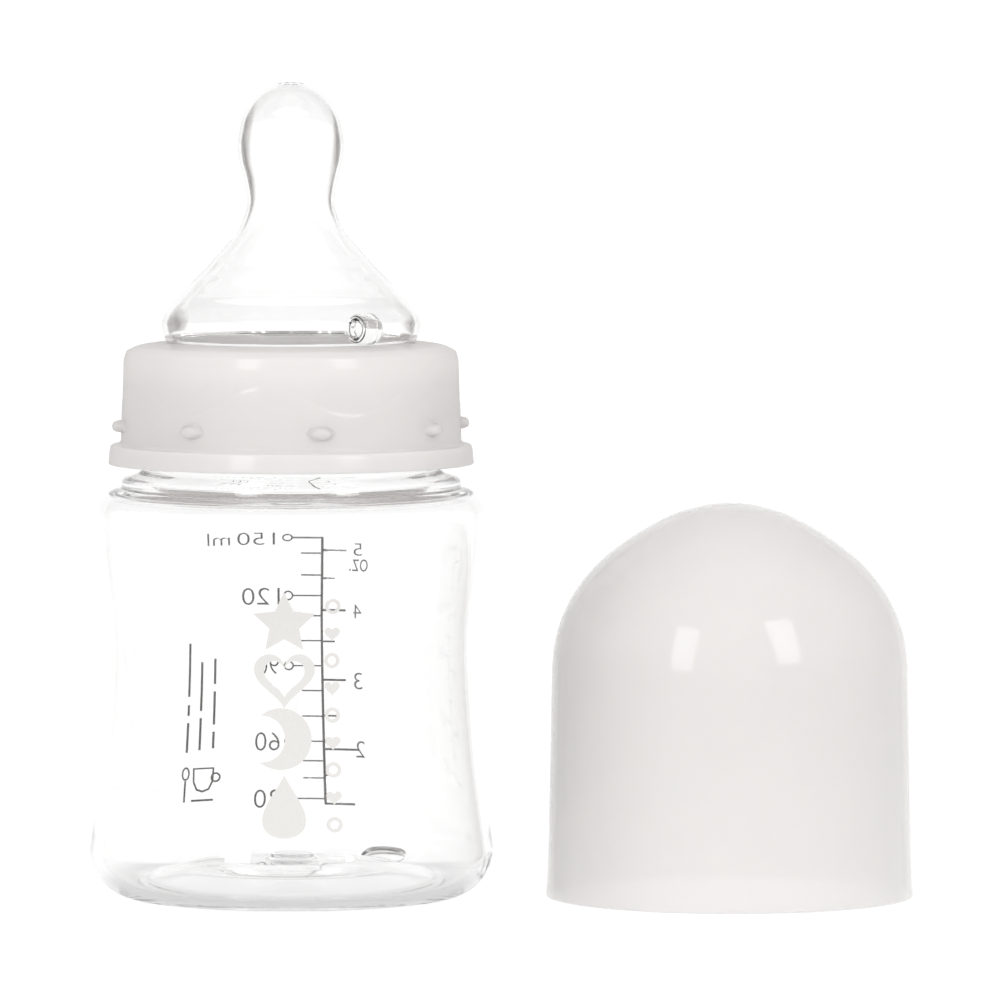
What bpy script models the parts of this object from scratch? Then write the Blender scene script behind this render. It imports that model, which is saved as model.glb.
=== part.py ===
"""Wide-neck baby bottle: bottle, screw ring, teat and the dome cap standing beside it.

Four separate mouldings. The teat is clamped between the screw ring and the lip of the
bottle, the ring runs on the neck's screw thread, and the cap covers the teat and snaps
over the ring's lugs; here it stands on the table to the right of the bottle.

Lengths are in millimetres times MM, so the model is in metres. +Z is up. The origin is on
the table, under the middle of the box round the whole set, with the front towards -Y.
Each outline is a list of (radius, height) points round the cut wall of a turned piece.
"""

from math import cos, pi, radians, sin, sqrt, tau

import bmesh
import bpy
from mathutils import Vector

MM = 0.001
GAP = 0.3  # mm of air between pieces that touch on the real object
SIDES = 48  # facets round a turned piece

# Driving dimensions, in mm. Heights are from the table.
BOTTLE_WALL = 1.3
BASE_RADIUS = 33.1  # widest, just above the heel
HEEL_RADIUS = 7.8  # rounding between the side and the base
WAIST_RADIUS = 30.25
WAIST_HEIGHT = 41.0
SHOULDER_RADIUS = 31.9
SHOULDER_HEIGHT = 62.0
SHOULDER_TOP = 67.0
BEAD_RADIUS = 27.6  # the support bead under the thread
NECK_FOOT = 69.9
NECK_RADIUS = 24.4
NECK_WALL = 1.5
LIP_HEIGHT = 85.8
FOOT_RING = (24.0, 25.3)  # the flat ring that the bottle stands on
PUNT_RADIUS = 10.6  # raised disc in the middle of the base
PUNT_HEIGHT = 4.5

LEAD = 5.0  # rise of the screw thread in one turn
THREAD_TURNS = 1.25
THREAD_DEPTH = 1.1
THREAD_ROOT_WIDTH = 2.2
THREAD_CREST_WIDTH = 1.2
THREAD_START = 76.2  # height of the bottle thread's lower end

RING_FOOT = 71.1  # underside of the ring's flange
RING_FLANGE_RADIUS = 29.7
RING_FLANGE_TOP = 74.0
RING_RADIUS = 27.6  # at the flange; the side leans in by RING_LEAN towards the top
RING_LEAN = 0.035
RING_BORE = 25.9
RING_EDGE_HEIGHT = 89.1
RING_RIM_HEIGHT = 91.4
RING_HOLE_RADIUS = 19.8
RING_CLAMP_HEIGHT = 87.6  # underside that presses on the teat's flange
WAVES = 6
WAVE_HEIGHT = 82.45
WAVE_SWING = 2.25
WAVE_STEP = 0.3
WAVE_CREST_ANGLE = -9.4  # degrees round from the front, towards +X
LUGS = 8
LUG_FIRST_ANGLE = 11.0
LUG_HEIGHT = 77.5
LUG_SIZE = (3.5, 2.0)  # width and height of the oval
LUG_REACH = 29.3  # radius of the lugs' outer ends

TEAT_WALL = 1.0
TEAT_FLANGE_RADIUS = 25.2
TEAT_HOLE_RADIUS = 0.6
TEAT_TOP = 133.6
VENT_ANGLE = 44.0
VENT_DISTANCE = 18.0  # of the vent's barrel from the teat's axis
VENT_HEIGHT = 93.2
VENT_RADIUS = 2.1
VENT_LENGTH = 5.2

CAP_WALL = 1.1
CAP_HEIGHT = 64.6
CAP_RIM_RADIUS = 30.1
AXIS_SPACING = 71.9  # from the bottle's axis to the cap's

# The set is centred on the origin from the bottle's left side to the cap's right side.
SET_WIDTH = BASE_RADIUS + AXIS_SPACING + CAP_RIM_RADIUS
BOTTLE_X = BASE_RADIUS - SET_WIDTH / 2
CAP_X = BOTTLE_X + AXIS_SPACING


# Outline helpers


def arc(centre, radius, start, end, steps):
    """Points along a circle's arc, with angles in degrees; 0 points outward, 90 up."""
    turns = [radians(start + (end - start) * i / steps) for i in range(steps + 1)]
    return [(centre[0] + radius * cos(a), centre[1] + radius * sin(a)) for a in turns]


def inset(line, depth):
    """The line moved sideways by depth, to the left of its direction."""
    moved = []
    for i, (r, z) in enumerate(line):
        before, after = line[max(i - 1, 0)], line[min(i + 1, len(line) - 1)]
        dr, dz = after[0] - before[0], after[1] - before[1]
        length = sqrt(dr * dr + dz * dz)
        moved.append((r - dz / length * depth, z + dr / length * depth))
    return moved


# Solid helpers


def material(name, colour, roughness, alpha=1.0):
    """A plain Principled material."""
    made = bpy.data.materials.new(name)
    made.use_nodes = True
    surface = made.node_tree.nodes["Principled BSDF"]
    surface.inputs["Base Color"].default_value = (*colour, 1.0)
    surface.inputs["Roughness"].default_value = roughness
    surface.inputs["Metallic"].default_value = 0.0
    surface.inputs["Alpha"].default_value = alpha
    return made


def add_object(name, bm, x, look=None):
    """An object at x along the X axis, made from bm; both are in mm."""
    bmesh.ops.scale(bm, vec=Vector((MM, MM, MM)), verts=bm.verts)
    bmesh.ops.recalc_face_normals(bm, faces=bm.faces)
    mesh = bpy.data.meshes.new(name)
    bm.to_mesh(mesh)
    bm.free()
    mesh.shade_smooth()
    mesh.set_sharp_from_angle(angle=radians(35))
    if look:
        mesh.materials.append(look)
    made = bpy.data.objects.new(name, mesh)
    made.location.x = x * MM
    bpy.context.scene.collection.objects.link(made)
    return made


def turned(outline):
    """A bmesh with the closed outline turned once round the Z axis."""
    bm = bmesh.new()
    verts = [bm.verts.new((r, 0.0, z)) for r, z in outline]
    edges = [bm.edges.new(pair) for pair in zip(verts, [*verts[1:], verts[0]])]
    bmesh.ops.spin(
        bm,
        geom=verts + edges,
        cent=(0, 0, 0),
        axis=(0, 0, 1),
        angle=tau,
        steps=SIDES,
        use_merge=True,
    )
    bmesh.ops.remove_doubles(bm, verts=bm.verts, dist=1e-4)
    return bm


def skin(bm, sections):
    """Joins a row of equal vertex loops into one closed solid, with flat ends."""
    rows = [[bm.verts.new(point) for point in section] for section in sections]
    count = len(rows[0])
    for low, high in zip(rows, rows[1:]):
        for i in range(count):
            j = (i + 1) % count
            bm.faces.new((low[i], low[j], high[j], high[i]))
    bm.faces.new(rows[0][::-1])
    bm.faces.new(rows[-1])


def thread(root, crest, start_height, start_angle):
    """A helical ridge that rises LEAD in a turn, tapered away at both ends."""
    steps = round(SIDES * THREAD_TURNS)
    taper = 5
    sections = []
    for i in range(steps + 1):
        height = start_height + LEAD * i / SIDES
        angle = start_angle + tau * i / SIDES
        share = min(1.0, (i + 1) / taper, (steps - i + 1) / taper)
        reach = root + (crest - root) * (0.35 + 0.65 * share)
        half_root = THREAD_ROOT_WIDTH / 2 * (0.5 + 0.5 * share)
        half_crest = THREAD_CREST_WIDTH / 2 * (0.5 + 0.5 * share)
        corners = (
            (root, height - half_root),
            (reach, height - half_crest),
            (reach, height + half_crest),
            (root, height + half_root),
        )
        sections.append([(r * cos(angle), r * sin(angle), z) for r, z in corners])
    bm = bmesh.new()
    skin(bm, sections)
    return bm


def combine(target, name, bm, operation):
    """Joins the solid in bm to target, or cuts it out, with a Boolean modifier."""
    tool = add_object(name, bm, target.location.x / MM)
    tool.hide_render = True
    tool.display_type = "WIRE"
    step = target.modifiers.new(name, "BOOLEAN")
    step.operation = operation
    step.solver = "EXACT"
    step.object = tool


def from_front(angle, radius, height):
    """The point at an angle in degrees round from the front (-Y) towards +X."""
    a = radians(angle)
    return Vector((radius * sin(a), -radius * cos(a), height))


# The pieces


def body_radius(height):
    """The bottle's outer radius between the heel and the shoulder."""
    if height > WAIST_HEIGHT:
        t = (height - WAIST_HEIGHT) / (SHOULDER_HEIGHT - WAIST_HEIGHT)
        return WAIST_RADIUS + (SHOULDER_RADIUS - WAIST_RADIUS) * (1 - cos(pi * t)) / 2
    t = (WAIST_HEIGHT - height) / (WAIST_HEIGHT - HEEL_RADIUS)
    return WAIST_RADIUS + (BASE_RADIUS - WAIST_RADIUS) * t**1.7


def bottle_outline():
    """The wall of the bottle, down the outside and up the inside."""
    bead_top = (26.2, 69.3)
    side = [SHOULDER_HEIGHT + (HEEL_RADIUS - SHOULDER_HEIGHT) * i / 8 for i in range(9)]
    shoulder_width = SHOULDER_RADIUS - 28.2
    shoulder_rise = SHOULDER_TOP - SHOULDER_HEIGHT
    shoulder = [
        (28.2 + shoulder_width * cos(a), SHOULDER_HEIGHT + shoulder_rise * sin(a))
        for a in (radians(90 - 90 * i / 4) for i in range(4))
    ]
    outside = [
        (NECK_RADIUS - 0.5, LIP_HEIGHT),
        (NECK_RADIUS, LIP_HEIGHT - 0.5),
        (NECK_RADIUS, NECK_FOOT),
        bead_top,
        (BEAD_RADIUS - 0.4, 68.5),
        (BEAD_RADIUS, 67.8),
        (BEAD_RADIUS - 0.4, SHOULDER_TOP),
        *shoulder,
        *[(body_radius(z), z) for z in side],
    ]
    heel = (BASE_RADIUS - HEEL_RADIUS, HEEL_RADIUS)
    foot_inner, foot_outer = FOOT_RING
    underside = [
        *arc(heel, HEEL_RADIUS, -15, -75, 4),
        (foot_outer, 0.0),
        (foot_inner, 0.0),
        (foot_inner - 1.6, 0.9),
        (PUNT_RADIUS + 6.0, 3.2),
        (PUNT_RADIUS, PUNT_HEIGHT - 0.5),
        (PUNT_RADIUS - 0.4, PUNT_HEIGHT),
        (0.0, PUNT_HEIGHT),
    ]
    wall = BOTTLE_WALL
    inside = [
        (0.0, PUNT_HEIGHT + 2.4),
        (3.4, PUNT_HEIGHT + 2.4),
        (4.2, PUNT_HEIGHT + wall),
        (PUNT_RADIUS, PUNT_HEIGHT + wall - 0.1),
        (PUNT_RADIUS + 6.5, 4.8),
        (foot_inner - 1.0, 2.4),
        *arc(heel, HEEL_RADIUS - wall, -75, 0, 3),
        *[(body_radius(z) - wall, z) for z in side[::-2][1:]],
        (SHOULDER_RADIUS - wall - 0.7, SHOULDER_TOP - 2.6),
        (28.2, SHOULDER_TOP - wall - 0.1),
        (NECK_RADIUS - 0.6, SHOULDER_TOP - wall + 0.3),
        (NECK_RADIUS - NECK_WALL, NECK_FOOT - 1.6),
        (NECK_RADIUS - NECK_WALL, LIP_HEIGHT - 0.4),
        (NECK_RADIUS - NECK_WALL + 0.4, LIP_HEIGHT),
    ]
    return [*outside, *underside, *inside]


def make_bottle():
    """The clear bottle, with its thread and the lens-shaped notch in the heel."""
    look = material("clear_plastic", (0.93, 0.94, 0.95), 0.08, 0.35)
    bottle = add_object("bottle", turned(bottle_outline()), BOTTLE_X, look)
    half_facet = pi / SIDES
    ridge = thread(NECK_RADIUS - 0.5, NECK_RADIUS + THREAD_DEPTH, THREAD_START, half_facet)
    combine(bottle, "bottle_thread", ridge, "UNION")
    notch = bmesh.new()
    bmesh.ops.create_uvsphere(notch, u_segments=14, v_segments=7, radius=1.0)
    bmesh.ops.scale(notch, vec=Vector((4.4, 1.6, 1.9)), verts=notch.verts)
    tilt = radians(-45)
    angle = radians(151)
    for v in notch.verts:
        y, z = v.co.y, v.co.z
        v.co.y = y * cos(tilt) - z * sin(tilt)
        v.co.z = y * sin(tilt) + z * cos(tilt)
        x, y = v.co.x, v.co.y
        v.co.x = x * cos(angle) - y * sin(angle)
        v.co.y = x * sin(angle) + y * cos(angle)
        v.co += from_front(151, 31.6, 1.6)
    combine(bottle, "heel_notch", notch, "DIFFERENCE")
    return bottle


def ring_radius(height):
    """The ring's outer radius below the wave; above it the side is WAVE_STEP lower."""
    return RING_RADIUS - RING_LEAN * (height - RING_FLANGE_TOP)


def ring_outline():
    """The wall of the screw ring, from its rim down the outside and up the bore."""
    wave_low, wave_high = WAVE_HEIGHT - 0.15, WAVE_HEIGHT + 0.15
    edge = RING_EDGE_HEIGHT
    return [
        (RING_HOLE_RADIUS + 0.5, RING_RIM_HEIGHT),
        (26.0, edge + 0.35),
        (26.6, edge - 0.1),
        (ring_radius(edge) - WAVE_STEP, edge - 0.8),
        (ring_radius(wave_high) - WAVE_STEP, wave_high),
        (ring_radius(wave_low), wave_low),
        (RING_RADIUS, RING_FLANGE_TOP + 0.4),
        (RING_RADIUS + 0.5, RING_FLANGE_TOP),
        (RING_FLANGE_RADIUS - 0.6, RING_FLANGE_TOP - 0.1),
        (RING_FLANGE_RADIUS - 0.3, RING_FLANGE_TOP - 0.4),
        (RING_FLANGE_RADIUS, RING_FOOT),
        (RING_BORE + 0.5, RING_FOOT),
        (RING_BORE, RING_FOOT + 0.5),
        (RING_BORE, RING_CLAMP_HEIGHT),
        (22.6, RING_CLAMP_HEIGHT),
        (RING_HOLE_RADIUS, RING_RIM_HEIGHT - 1.9),
        (RING_HOLE_RADIUS, RING_RIM_HEIGHT - 0.4),
    ]


def make_ring():
    """The screw ring, with the wave round its side, the cap lugs and its thread."""
    look = material("frosted_plastic", (0.86, 0.85, 0.85), 0.25, 0.9)
    bm = turned(ring_outline())
    for v in bm.verts:
        radius = sqrt(v.co.x**2 + v.co.y**2)
        on_side = radius > RING_BORE + 0.5 and abs(v.co.z - WAVE_HEIGHT) < 0.2
        if on_side:
            angle = radians(WAVE_CREST_ANGLE) - Vector((0, -1)).angle_signed(v.co.xy)
            rise = WAVE_SWING * cos(WAVES * (angle))
            grow = 1 - RING_LEAN * rise / radius
            v.co = (v.co.x * grow, v.co.y * grow, v.co.z + rise)
    ring = add_object("screw_ring", bm, BOTTLE_X, look)

    lugs = bmesh.new()
    width, height = LUG_SIZE
    for i in range(LUGS):
        angle = LUG_FIRST_ANGLE + 360 / LUGS * i
        across = from_front(angle + 90, 1.0, 0.0)
        sections = []
        for reach, size in ((26.9, 1.15), (LUG_REACH - 0.7, 1.0), (LUG_REACH, 0.6)):
            middle = from_front(angle, reach, LUG_HEIGHT)
            sections.append(
                [
                    middle
                    + across * (width / 2 * size * cos(a))
                    + Vector((0, 0, height / 2 * size * sin(a)))
                    for a in (tau * k / 12 for k in range(12))
                ]
            )
        skin(lugs, sections)
    combine(ring, "cap_lugs", lugs, "UNION")

    half_facet = pi / SIDES
    ridge = thread(RING_BORE + 0.4, RING_BORE - THREAD_DEPTH, THREAD_START - LEAD / 2, half_facet)
    combine(ring, "ring_thread", ridge, "UNION")
    return ring


def teat_outline():
    """The wall of the teat, from the tip hole down the outside and up the inside."""
    nipple = [
        (TEAT_HOLE_RADIUS, TEAT_TOP),
        (2.6, TEAT_TOP - 0.3),
        (4.6, TEAT_TOP - 1.5),
        (6.5, 130.3),
        (8.0, 127.9),
        (8.7, 125.4),
        (8.8, 123.1),
        (8.1, 120.2),
        (7.2, 116.9),
        (7.2, 114.0),
        (8.0, 111.2),
        (9.6, 108.5),
    ]
    skirt = [
        (11.5, 106.3),
        (13.8, 103.2),
        (18.0, 98.9),
        (20.2, 96.4),
        (21.1, 94.7),
        (21.1, 93.2),
        (20.4, 91.9),
    ]
    groove = RING_HOLE_RADIUS - GAP
    flange_top = RING_CLAMP_HEIGHT - GAP
    flange_foot = LIP_HEIGHT + GAP
    outside = [
        *nipple,
        *skirt,
        (groove, RING_RIM_HEIGHT - 0.1),
        (groove, RING_RIM_HEIGHT - 2.3),
        (21.8, flange_top),
        (TEAT_FLANGE_RADIUS, flange_top),
        (TEAT_FLANGE_RADIUS, flange_foot),
    ]
    inner_wall = inset([*nipple, *skirt][::-1], TEAT_WALL)
    inner_wall[-1] = (TEAT_HOLE_RADIUS, TEAT_TOP - TEAT_WALL)
    inside = [
        (groove - 1.6, flange_foot),
        (groove - TEAT_WALL, RING_CLAMP_HEIGHT + 0.4),
        (groove - TEAT_WALL, RING_RIM_HEIGHT),
        *inner_wall[1::2],
    ]
    return [*outside, *inside]


def make_teat():
    """The soft teat, with its flange, the hole in its tip and the vent's barrel."""
    look = material("silicone", (0.95, 0.95, 0.94), 0.15, 0.4)
    teat = add_object("teat", turned(teat_outline()), BOTTLE_X, look)
    along = from_front(VENT_ANGLE - 90, 1.0, 0.0)
    across = from_front(VENT_ANGLE, 1.0, 0.0)
    middle = from_front(VENT_ANGLE, VENT_DISTANCE, VENT_HEIGHT)
    half = VENT_LENGTH / 2
    barrel = bmesh.new()
    sections = []
    for offset, size in ((-half, 0.55), (-half + 0.9, 1.0), (half - 0.4, 1.0), (half, 0.8)):
        sections.append(
            [
                middle
                + along * offset
                + across * (VENT_RADIUS * size * cos(a))
                + Vector((0, 0, VENT_RADIUS * size * sin(a)))
                for a in (tau * k / 16 for k in range(16))
            ]
        )
    skin(barrel, sections)
    combine(teat, "vent_barrel", barrel, "UNION")
    return teat


def cap_outline():
    """The wall of the dome cap, from the top down the outside and up the inside."""
    dome = [
        (0.0, CAP_HEIGHT),
        (5.3, CAP_HEIGHT - 0.65),
        (9.6, 62.6),
        (14.5, 60.0),
        (18.5, 57.3),
        (21.9, 54.4),
        (24.9, 50.8),
        (27.1, 46.9),
        (28.5, 42.9),
        (29.2, 37.0),
    ]
    outside = [
        *dome,
        (29.5, 22.0),
        (29.85, 5.0),
        (CAP_RIM_RADIUS - 0.1, 2.6),
        (CAP_RIM_RADIUS, 0.3),
        (CAP_RIM_RADIUS - 0.3, 0.0),
    ]
    under_dome = inset(dome[::-1], CAP_WALL)
    under_dome[-1] = (0.0, CAP_HEIGHT - CAP_WALL)
    inside = [
        (CAP_RIM_RADIUS - CAP_WALL, 0.0),
        (29.85 - CAP_WALL, 5.0),
        (29.5 - CAP_WALL, 22.0),
        *under_dome,
    ]
    return [*outside, *inside]


def make_cap():
    """The dome cap, standing on its rim."""
    look = material("frosted_dome", (0.88, 0.87, 0.86), 0.2, 0.85)
    return add_object("cap", turned(cap_outline()), CAP_X, look)


def clear_scene():
    for old in list(bpy.data.objects):
        bpy.data.objects.remove(old, do_unlink=True)


clear_scene()
make_bottle()
make_ring()
make_teat()
make_cap()
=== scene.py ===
"""Looks of the wide-neck baby bottle: clear bottle, milky screw ring, clear teat and milky dome cap.

The bottle, ring, teat and cap are turned from fine outlines, which are lists of (radius, height),
and the print is thin raised ink. Lengths are in millimetres until add_mesh, with heights from the
table, and angles round a piece start at the front (-Y) and grow towards +X.
"""

from math import atan2, cos, hypot, pi, radians, sin, tau

import bmesh
import bpy
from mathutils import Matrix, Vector, geometry


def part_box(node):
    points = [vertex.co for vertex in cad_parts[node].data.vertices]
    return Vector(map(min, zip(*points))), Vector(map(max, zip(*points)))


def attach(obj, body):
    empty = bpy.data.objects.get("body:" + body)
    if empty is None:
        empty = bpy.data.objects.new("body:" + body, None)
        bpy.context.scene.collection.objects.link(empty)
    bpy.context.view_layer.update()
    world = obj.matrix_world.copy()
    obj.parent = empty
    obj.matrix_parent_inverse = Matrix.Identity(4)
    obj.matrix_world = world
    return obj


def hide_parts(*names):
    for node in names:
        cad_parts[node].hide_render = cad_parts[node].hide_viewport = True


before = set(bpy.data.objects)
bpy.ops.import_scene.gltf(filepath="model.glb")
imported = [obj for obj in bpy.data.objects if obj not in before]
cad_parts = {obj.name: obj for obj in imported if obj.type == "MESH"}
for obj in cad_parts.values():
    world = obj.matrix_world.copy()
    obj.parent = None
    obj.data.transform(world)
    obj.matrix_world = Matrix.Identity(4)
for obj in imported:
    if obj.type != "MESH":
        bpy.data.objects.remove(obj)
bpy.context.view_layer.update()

MM = 0.001

low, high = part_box("bottle")
BOTTLE_X = (low.x + high.x) / 2 / MM
low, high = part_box("cap")
CAP_X = (low.x + high.x) / 2 / MM

SIDES = 160  # facets round a turned piece
RING_SIDES = 240  # finer, for the wave round the ring
SHARP, RING_SHARP, INK_SHARP = 32, 40, 50  # degrees between faces from which an edge is sharp
TINY = 1e-6


# Outline helpers


def dense(points, step):
    """The broken line with points added, so that none are further apart than step."""
    made = [points[0]]
    for a, b in zip(points, points[1:]):
        count = max(1, round(hypot(b[0] - a[0], b[1] - a[1]) / step))
        made += [
            (a[0] + (b[0] - a[0]) * i / count, a[1] + (b[1] - a[1]) * i / count)
            for i in range(1, count + 1)
        ]
    return made


def catmull_rom(a, b, c, d, t):
    """The point at share t of the way from b to c on a smooth curve through a, b, c and d."""
    return tuple(
        0.5
        * (
            2 * b[k]
            + (c[k] - a[k]) * t
            + (2 * a[k] - 5 * b[k] + 4 * c[k] - d[k]) * t * t
            + (3 * b[k] - a[k] - 3 * c[k] + d[k]) * t**3
        )
        for k in (0, 1)
    )


def smooth(points, step):
    """A smooth curve through the points."""
    first = (2 * points[0][0] - points[1][0], 2 * points[0][1] - points[1][1])
    last = (2 * points[-1][0] - points[-2][0], 2 * points[-1][1] - points[-2][1])
    p = [first, *points, last]
    made = [points[0]]
    for a, b, c, d in zip(p, p[1:], p[2:], p[3:]):
        count = max(2, round(hypot(c[0] - b[0], c[1] - b[1]) / step))
        made += [catmull_rom(a, b, c, d, i / count) for i in range(1, count + 1)]
    return made


CORNER_STEPS = 5


def rounded(points, step):
    """A broken line whose corners (r, z, size) are rounded off over size, then made dense.

    The sizes of two neighbouring corners add up to less than the distance between them.
    """
    line = []
    for i, point in enumerate(points):
        size = point[2] if len(point) > 2 else 0
        here = Vector(point[:2])
        if not size or i in (0, len(points) - 1):
            line.append(tuple(here))
            continue
        before, after = Vector(points[i - 1][:2]), Vector(points[i + 1][:2])
        start = here + (before - here).normalized() * size
        end = here + (after - here).normalized() * size
        for k in range(CORNER_STEPS + 1):
            t = k / CORNER_STEPS
            line.append(tuple(start * (1 - t) ** 2 + here * (2 * t * (1 - t)) + end * t * t))
    return dense(line, step)


def inset(line, depth_at):
    """The line moved sideways, to the left of its direction, by depth_at(height)."""
    moved = []
    for i, (r, z) in enumerate(line):
        before, after = line[max(i - 1, 0)], line[min(i + 1, len(line) - 1)]
        dr, dz = after[0] - before[0], after[1] - before[1]
        length, depth = hypot(dr, dz), depth_at(z)
        moved.append((r - dz / length * depth, z + dr / length * depth))
    return moved


def arc(centre, reach, rise, start, end, steps):
    """Points along an oval's arc, with angles in degrees; 0 points outward, 90 up."""
    turns = [radians(start + (end - start) * i / steps) for i in range(steps + 1)]
    return [(centre[0] + reach * cos(a), centre[1] + rise * sin(a)) for a in turns]


def ease(t):
    """From 0 to 1 with a soft start and end."""
    t = min(1.0, max(0.0, t))
    return t * t * (3 - 2 * t)


# Mesh helpers


def shade(mesh, sharp=SHARP):
    """Smooth shading, with sharp edges where faces meet at more than sharp degrees."""
    mesh.shade_smooth()
    mesh.set_sharp_from_angle(angle=radians(sharp))


def add_mesh(name, verts, faces):
    """A new object from points in mm."""
    mesh = bpy.data.meshes.new(name)
    mesh.from_pydata([Vector(v) * MM for v in verts], [], faces)
    bm = bmesh.new()
    bm.from_mesh(mesh)
    bmesh.ops.recalc_face_normals(bm, faces=bm.faces)
    bm.to_mesh(mesh)
    bm.free()
    made = bpy.data.objects.new(name, mesh)
    bpy.context.scene.collection.objects.link(made)
    return made


def add_piece(name, verts, faces, body, look, sharp=SHARP):
    """A piece of the object from points in mm, riding on body."""
    made = add_mesh(name, verts, faces)
    shade(made.data, sharp)
    made.data.materials.append(look)
    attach(made, body)
    return made


def turned(outline, x, shape=None, sides=SIDES):
    """Points and faces of the outline turned round the vertical axis at x.

    The third list gives each face's place along the outline. shape(angle, i, r, z) may move the points
    of outline place i, at each angle in radians.
    """
    verts, faces, places, rings = [], [], [], []
    for i, (r, z) in enumerate(outline):
        if r < TINY:
            rings.append([len(verts)] * sides)
            verts.append((x, 0.0, z))
            continue
        ring = []
        for k in range(sides):
            angle = tau * k / sides
            rr, zz = shape(angle, i, r, z) if shape else (r, z)
            ring.append(len(verts))
            verts.append((x + rr * sin(angle), -rr * cos(angle), zz))
        rings.append(ring)
    for i, ring in enumerate(rings):
        following = rings[(i + 1) % len(rings)]
        for k in range(sides):
            j = (k + 1) % sides
            corners = []
            for corner in (ring[k], ring[j], following[j], following[k]):
                if corner not in corners:
                    corners.append(corner)
            if len(corners) > 2:
                faces.append(corners)
                places.append(i)
    return verts, faces, places


def line_inside(piece, look, places, first):
    """Gives look to the faces from outline place first on, which are the wall's inner side."""
    piece.data.materials.append(look)
    for face, place in zip(piece.data.polygons, places):
        face.material_index = int(place >= first)


def skin(sections):
    """Points and faces of a closed solid through a row of equal loops, with flat ends."""
    count = len(sections[0])
    verts = [point for section in sections for point in section]
    faces = []
    for s in range(len(sections) - 1):
        for i in range(count):
            j = (i + 1) % count
            faces.append(
                (s * count + i, s * count + j, (s + 1) * count + j, (s + 1) * count + i)
            )
    faces.append(list(range(count))[::-1])
    faces.append([(len(sections) - 1) * count + i for i in range(count)])
    return verts, faces


def combine(target, solids, operation):
    """Joins the solids (points and faces) to target, or cuts them out, and keeps the result."""
    tools = []
    for i, (verts, faces) in enumerate(solids):
        tool = add_mesh(f"tool_{i}", verts, faces)
        shade(tool.data)
        step = target.modifiers.new(tool.name, "BOOLEAN")
        step.operation = operation
        step.solver = "EXACT"
        step.object = tool
        tools.append(tool)
    graph = bpy.context.evaluated_depsgraph_get()
    mesh = bpy.data.meshes.new_from_object(target.evaluated_get(graph), depsgraph=graph)
    target.modifiers.clear()
    old = target.data
    target.data = mesh
    bpy.data.meshes.remove(old)
    for tool in tools:
        bpy.data.meshes.remove(tool.data)
    shade(mesh)


def from_front(angle, radius, height, x=0.0):
    """The point at an angle in degrees round from the front, about the vertical axis at x."""
    a = radians(angle)
    return Vector((x + radius * sin(a), -radius * cos(a), height))


def upright_oval(middle, across, width, height, count):
    """Points round an upright oval in space, from its half width along across and its half height."""
    return [
        middle + across * (width * cos(a)) + Vector((0, 0, height * sin(a)))
        for a in (tau * k / count for k in range(count))
    ]


# Materials


class Nodes:
    """The nodes of a new material or world, with short calls for the kinds used here."""

    def __init__(self, owner, output="OutputMaterial"):
        owner.use_nodes = True
        self.owner, self.tree = owner, owner.node_tree
        self.tree.nodes.clear()
        self.output = self.add(output)

    def add(self, kind, **settings):
        """A new node. A setting is one of its properties or, with _ for a space, one of its inputs."""
        node = self.tree.nodes.new("ShaderNode" + kind)
        for key, value in settings.items():
            if hasattr(node, key):
                setattr(node, key, value)
            else:
                self.put(value, node.inputs[key.replace("_", " ")])
        return node

    def put(self, value, target):
        """Links an output to the input target, or sets a number or colour there."""
        if isinstance(value, bpy.types.NodeSocket):
            self.tree.links.new(value, target)
        else:
            target.default_value = value

    def math(self, operation, *values):
        """The result of the operation on numbers or outputs."""
        node = self.add("Math", operation=operation)
        for value, target in zip(values, node.inputs):
            self.put(value, target)
        return node.outputs[0]

    def mix(self, share, first, second):
        """The first colour where share is 0, the second where it is 1."""
        return self.add("MixRGB", Fac=share, Color1=first, Color2=second).outputs["Color"]

    def mix_shaders(self, share, first, second):
        """The first shader where share is 0, the second where it is 1."""
        node = self.add("MixShader", Fac=share)
        self.put(first.outputs[0], node.inputs[1])
        self.put(second.outputs[0], node.inputs[2])
        return node

    def noise(self, scale, detail=3.0, stretch=(1, 1, 1)):
        """Noise in object space, with features about 1 / scale metres long."""
        place = self.add("Mapping", Vector=self.add("TexCoord").outputs["Object"], Scale=stretch)
        noise = self.add("TexNoise", Vector=place.outputs["Vector"], Scale=scale, Detail=detail)
        return noise.outputs["Fac"]

    def ramp(self, value, low, high, start=0.0, end=1.0):
        """Value from [start, end] mapped to [low, high]."""
        node = self.add("MapRange", Value=value, From_Min=start, From_Max=end, To_Min=low, To_Max=high)
        return node.outputs["Result"]

    def colours(self, value, stops):
        """A colour ramp, with stops as (place, colour), or (place, number) for grey."""
        node = self.add("ValToRGB", Fac=value)
        elements = node.color_ramp.elements
        while len(elements) < len(stops):
            elements.new(0.5)
        for element, (place, colour) in zip(elements, stops):
            element.position = place
            element.color = (*colour, 1.0) if isinstance(colour, tuple) else (*[colour] * 3, 1.0)
        return node.outputs["Color"]

    def bump(self, height, distance):
        return self.add("Bump", Strength=1.0, Height=height, Distance=distance).outputs["Normal"]

    def facing(self):
        """0 where the surface faces the ray, 1 where it is seen edge-on."""
        return self.add("LayerWeight", Blend=0.5).outputs["Facing"]

    def finish(self, shader):
        """The material or world, with the shader node as its surface."""
        self.put(shader.outputs[0], self.output.inputs["Surface"])
        return self.owner


def new_material(name):
    return Nodes(bpy.data.materials.new(name))


GREEN_POWER, BLUE_POWER = 1.06, 1.1  # the clear walls take a little more green and blue than red
CLEAR_RIPPLE, MILKY_RIPPLE, INK_GRAIN = 0.000003, 0.00001, 0.00001  # metres


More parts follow.
